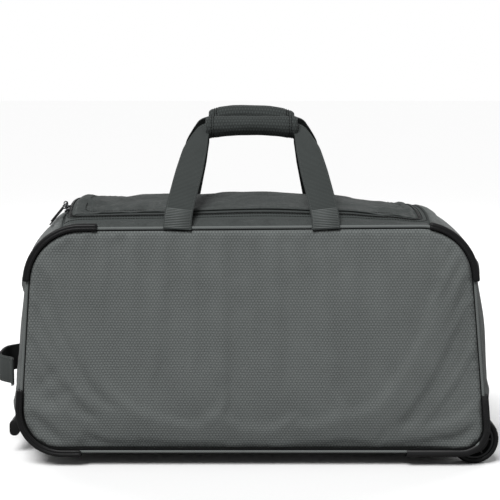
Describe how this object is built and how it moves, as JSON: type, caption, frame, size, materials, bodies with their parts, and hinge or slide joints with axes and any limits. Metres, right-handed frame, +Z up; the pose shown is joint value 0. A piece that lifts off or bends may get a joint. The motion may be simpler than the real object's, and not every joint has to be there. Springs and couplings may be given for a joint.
{
  "type": "rolling duffel bag",
  "caption": "Soft wheeled duffel bag with a zipped domed lid, piped seams, moulded corner guards, two carry handles, an end grab handle and a pull-out trolley.",
  "frame": {"origin": "on the ground, under the middle of the bag's overall box", "axes": "+X along the bag towards the wheels, +Y across it from the front panel to the rear panel, +Z up"},
  "size_m": [0.7079, 0.323, 0.49],
  "materials": {
    "panel_cloth": "honeycomb dobby polyester, coated behind",
    "gusset_cloth": "plain woven polyester, lightly wrinkled",
    "webbing": "ribbed polyester webbing",
    "piping": "woven piping cord",
    "guard_rubber": "moulded, satin with fine ribs",
    "moulded_plastic": "fine textured moulding",
    "tyre": "smooth polyurethane tread",
    "wheel_core": "moulded nylon",
    "steel": "bright zinc plated",
    "aluminium": "clear anodised",
    "board": "extruded sheet",
    "zip_tape": "woven tape with coil teeth",
    "zip_metal": "dark enamelled zinc",
    "pull_rubber": "moulded pull tab",
    "handle_lining": "black woven lining"
  },
  "bodies": {
    "bag": {"front_panel": "panel_cloth", "rear_panel": "panel_cloth", "left_end_panel": "gusset_cloth", "right_end_panel": "gusset_cloth", "bottom_panel": "gusset_cloth", "top_front_strip": "gusset_cloth", "top_rear_strip": "gusset_cloth", "front_piping": "piping", "rear_piping": "piping", "front_corner_guard_bottom_left": "guard_rubber", "rear_corner_guard_bottom_left": "guard_rubber", "front_corner_guard_top_left": "guard_rubber", "rear_corner_guard_top_left": "guard_rubber", "front_corner_guard_top_right": "guard_rubber", "rear_corner_guard_top_right": "guard_rubber", "front_foot": "moulded_plastic", "rear_foot": "moulded_plastic", "front_skid_rail": "moulded_plastic", "rear_skid_rail": "moulded_plastic", "front_wheel_housing": "moulded_plastic", "rear_wheel_housing": "moulded_plastic", "front_wheel_axle": "steel", "rear_wheel_axle": "steel", "front_axle_clip": "steel", "rear_axle_clip": "steel", "front_trolley_outer_tube": "aluminium", "rear_trolley_outer_tube": "aluminium", "grab_handle_webbing": "webbing", "grab_handle_lining": "handle_lining", "zip_tape_body_side": "zip_tape", "base_board": "board", "trolley_bezel": "moulded_plastic", "trolley_anchor": "moulded_plastic"},
    "wheel_front": {"front_wheel_tyre": "tyre", "front_wheel_core": "wheel_core", "front_wheel_bearing": "steel"},
    "wheel_rear": {"rear_wheel_tyre": "tyre", "rear_wheel_core": "wheel_core", "rear_wheel_bearing": "steel"},
    "trolley_middle": {"front_trolley_middle_tube": "aluminium", "rear_trolley_middle_tube": "aluminium", "front_trolley_middle_collar": "moulded_plastic", "rear_trolley_middle_collar": "moulded_plastic"},
    "trolley_inner": {"front_trolley_inner_tube": "aluminium", "rear_trolley_inner_tube": "aluminium", "trolley_grip": "guard_rubber"},
    "trolley_button": {"trolley_button": "moulded_plastic"},
    "lid": {"lid_panel": "gusset_cloth", "zip_tape_lid_side": "zip_tape"},
    "slider_front": {"zip_slider_front": "zip_metal"},
    "pull_front": {"zip_pull_front": "pull_rubber"},
    "slider_rear": {"zip_slider_rear": "zip_metal"},
    "pull_rear": {"zip_pull_rear": "pull_rubber"},
    "front_handle": {"front_handle_webbing": "webbing", "front_handle_sleeve": "webbing"},
    "rear_handle": {"rear_handle_webbing": "webbing", "rear_handle_sleeve": "webbing"}
  },
  "joints": [
    {"name": "wheel_front_spin", "type": "hinge", "parent": "bag", "child": "wheel_front", "pos_m": [0.32, -0.127, 0.034], "axis": [0, 1, 0], "continuous": true},
    {"name": "wheel_rear_spin", "type": "hinge", "parent": "bag", "child": "wheel_rear", "pos_m": [0.32, 0.127, 0.034], "axis": [0, 1, 0], "continuous": true},
    {"name": "trolley_lower_stage", "type": "slide", "parent": "bag", "child": "trolley_middle", "axis": [-1, 0, 0], "range_m": [0, 0.22]},
    {"name": "trolley_upper_stage", "type": "slide", "parent": "trolley_middle", "child": "trolley_inner", "axis": [-1, 0, 0], "range_m": [0, 0.22]},
    {"name": "trolley_button_press", "type": "slide", "parent": "trolley_inner", "child": "trolley_button", "axis": [1, 0, 0], "range_m": [0, 0.003], "stiffness_N_per_m": 600, "springref_m": -0.002},
    {"name": "lid_hinge", "type": "hinge", "parent": "bag", "child": "lid", "pos_m": [0, 0.1203, 0.3485], "axis": [-1, 0, 0], "range_deg": [0, 100]},
    {"name": "front_handle_fold", "type": "hinge", "parent": "bag", "child": "front_handle", "pos_m": [0, -0.1598, 0.3275], "axis": [1, 0, 0], "range_deg": [0, 200]},
    {"name": "rear_handle_fold", "type": "hinge", "parent": "bag", "child": "rear_handle", "pos_m": [0, 0.1598, 0.3275], "axis": [-1, 0, 0], "range_deg": [0, 200]},
    {"name": "zip_slider_front_run", "type": "hinge", "parent": "bag", "child": "slider_front", "pos_m": [-0.13204, 0, -0.0562], "axis": [0.9638, 0, 0.2665], "range_deg": [0, 2.8]},
    {"name": "zip_pull_front_swing", "type": "hinge", "parent": "slider_front", "child": "pull_front", "pos_m": [-0.24738, -0.088, 0.3526], "axis": [0, 1, 0], "range_deg": [0, 130]},
    {"name": "zip_slider_rear_run", "type": "hinge", "parent": "bag", "child": "slider_rear", "pos_m": [-0.09957, -0.002, -0.17362], "axis": [-0.9638, 0, -0.2665], "range_deg": [0, 18.2]},
    {"name": "zip_pull_rear_swing", "type": "hinge", "parent": "slider_rear", "child": "pull_rear", "pos_m": [-0.24825, -0.068, 0.35575], "axis": [0, 1, 0], "range_deg": [0, 130]}
  ],
  "couplings": [
    {"joint": "front_handle_fold", "follows": "lid_hinge", "ratio": 2},
    {"joint": "rear_handle_fold", "follows": "lid_hinge", "ratio": 2}
  ]
}
